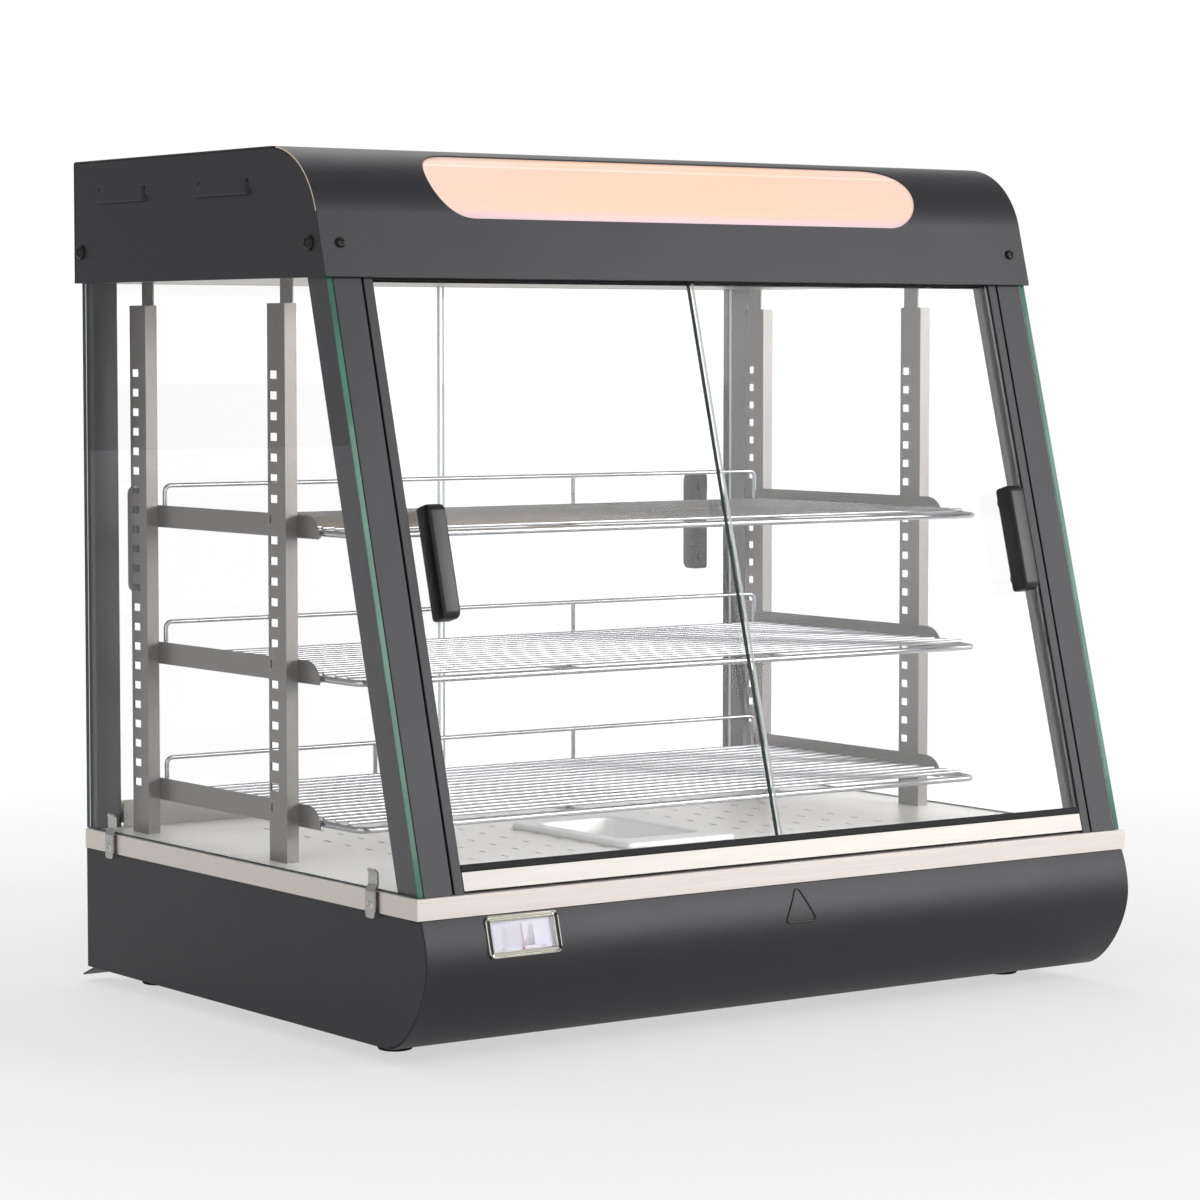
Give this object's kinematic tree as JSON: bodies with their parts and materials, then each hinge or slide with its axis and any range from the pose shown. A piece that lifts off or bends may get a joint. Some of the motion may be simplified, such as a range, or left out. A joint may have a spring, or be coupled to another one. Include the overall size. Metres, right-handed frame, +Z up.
{
  "type": "heated display case",
  "caption": "Counter-top heated display case: charcoal base, sloped sliding glass front, glass sides, wire shelves and a curved canopy with a lit sign window.",
  "frame": {"origin": "centre of the bounding box at the counter, under the middle of the case", "axes": "+X along the front to the right as a customer faces it, +Y from the front to the rear, +Z up"},
  "size_m": [0.6674, 0.5118, 0.6438],
  "materials": {
    "coated_steel": "satin charcoal powder coat on sheet steel",
    "rubber_foot": "moulded black rubber",
    "stainless_sheet": "brushed stainless sheet",
    "upright_steel": "satin stainless, bent and punched",
    "clip_steel": "tumbled stainless strip",
    "element_sheath": "heat-tinted steel sheath",
    "black_plastic": "moulded, semi-gloss",
    "track_plastic": "extruded, matt",
    "bright_bezel": "plated plastic bezel",
    "pointer_red": "red enamel",
    "clear_glass": "clear float glass with green edges",
    "bright_wire": "bright-plated wire",
    "opal_acrylic": "opal, lit from behind",
    "lamp_glass": "frosted, lit warm white"
  },
  "bodies": {
    "case": {"base_tray": "coated_steel", "base_front_panel": "coated_steel", "base_rear_panel": "coated_steel", "foot_front_left": "rubber_foot", "foot_rear_left": "rubber_foot", "foot_front_right": "rubber_foot", "foot_rear_right": "rubber_foot", "deck": "stainless_sheet", "heating_element": "element_sheath", "thermostat_body": "black_plastic", "switch_frame": "black_plastic", "cord_gland": "black_plastic", "thermometer_case": "bright_bezel", "thermometer_lens": "clear_glass", "side_pane_left": "clear_glass", "side_pane_right": "clear_glass", "pane_clip_front_left": "clip_steel", "pane_clip_rear_left": "clip_steel", "pane_clip_front_right": "clip_steel", "pane_clip_rear_right": "clip_steel", "front_post_left": "coated_steel", "front_post_right": "coated_steel", "rear_post_left": "coated_steel", "rear_post_right": "coated_steel", "front_sill": "stainless_sheet", "front_lower_track": "track_plastic", "front_upper_track": "track_plastic", "rear_lower_track": "stainless_sheet", "upright_front_left": "upright_steel", "upright_rear_left": "upright_steel", "upright_front_right": "upright_steel", "upright_rear_right": "upright_steel", "bracket_top_left": "upright_steel", "bracket_middle_left": "upright_steel", "bracket_bottom_left": "upright_steel", "bracket_top_right": "upright_steel", "bracket_middle_right": "upright_steel", "bracket_bottom_right": "upright_steel", "canopy_cover": "coated_steel", "canopy_end_left": "coated_steel", "canopy_end_right": "coated_steel", "ceiling_panel": "stainless_sheet", "lamp_batten": "stainless_sheet", "sign_panel": "opal_acrylic", "lamp_tube": "lamp_glass"},
    "front_left_door": {"front_door_left": "clear_glass", "front_handle_left": "black_plastic"},
    "front_right_door": {"front_door_right": "clear_glass", "front_handle_right": "black_plastic"},
    "rear_left_door": {"rear_door_left": "clear_glass", "rear_handle_left": "black_plastic"},
    "rear_right_door": {"rear_door_right": "clear_glass", "rear_handle_right": "black_plastic"},
    "top_shelf": {"shelf_top": "bright_wire"},
    "middle_shelf": {"shelf_middle": "bright_wire"},
    "bottom_shelf": {"shelf_bottom": "bright_wire"},
    "pan": {"water_pan": "stainless_sheet"},
    "knob": {"thermostat_knob": "black_plastic"},
    "rocker": {"lamp_rocker": "black_plastic"},
    "pointer": {"thermometer_pointer": "pointer_red"}
  },
  "joints": [
    {"name": "front_left_door_slide", "type": "slide", "parent": "case", "child": "front_left_door", "axis": [1, 0, 0], "range_m": [0, 0.255]},
    {"name": "front_right_door_slide", "type": "slide", "parent": "case", "child": "front_right_door", "axis": [1, 0, 0], "range_m": [-0.255, 0]},
    {"name": "rear_left_door_slide", "type": "slide", "parent": "case", "child": "rear_left_door", "axis": [1, 0, 0], "range_m": [0, 0.255]},
    {"name": "rear_right_door_slide", "type": "slide", "parent": "case", "child": "rear_right_door", "axis": [1, 0, 0], "range_m": [-0.255, 0]},
    {"name": "top_shelf_lift", "type": "slide", "parent": "case", "child": "top_shelf", "axis": [0, 0, 1], "range_m": [0, 0.02]},
    {"name": "middle_shelf_lift", "type": "slide", "parent": "case", "child": "middle_shelf", "axis": [0, 0, 1], "range_m": [0, 0.02]},
    {"name": "bottom_shelf_lift", "type": "slide", "parent": "case", "child": "bottom_shelf", "axis": [0, 0, 1], "range_m": [0, 0.02]},
    {"name": "pan_lift", "type": "slide", "parent": "case", "child": "pan", "axis": [0, 0, 1], "range_m": [0, 0.02]},
    {"name": "thermostat_turn", "type": "hinge", "parent": "case", "child": "knob", "pos_m": [-0.23, 0.2399, 0.064], "axis": [0, -1, 0], "range_deg": [0, 270]},
    {"name": "lamp_switch_tilt", "type": "hinge", "parent": "case", "child": "rocker", "pos_m": [-0.165, 0.241, 0.064], "axis": [-1, 0, 0], "range_deg": [0, 14]},
    {"name": "pointer_swing", "type": "hinge", "parent": "case", "child": "pointer", "pos_m": [-0.2455, -0.25121, 0.08224], "axis": [0, 0.9659, -0.2588], "range_deg": [-50, 50], "stiffness_Nm_per_rad": 0.002}
  ]
}
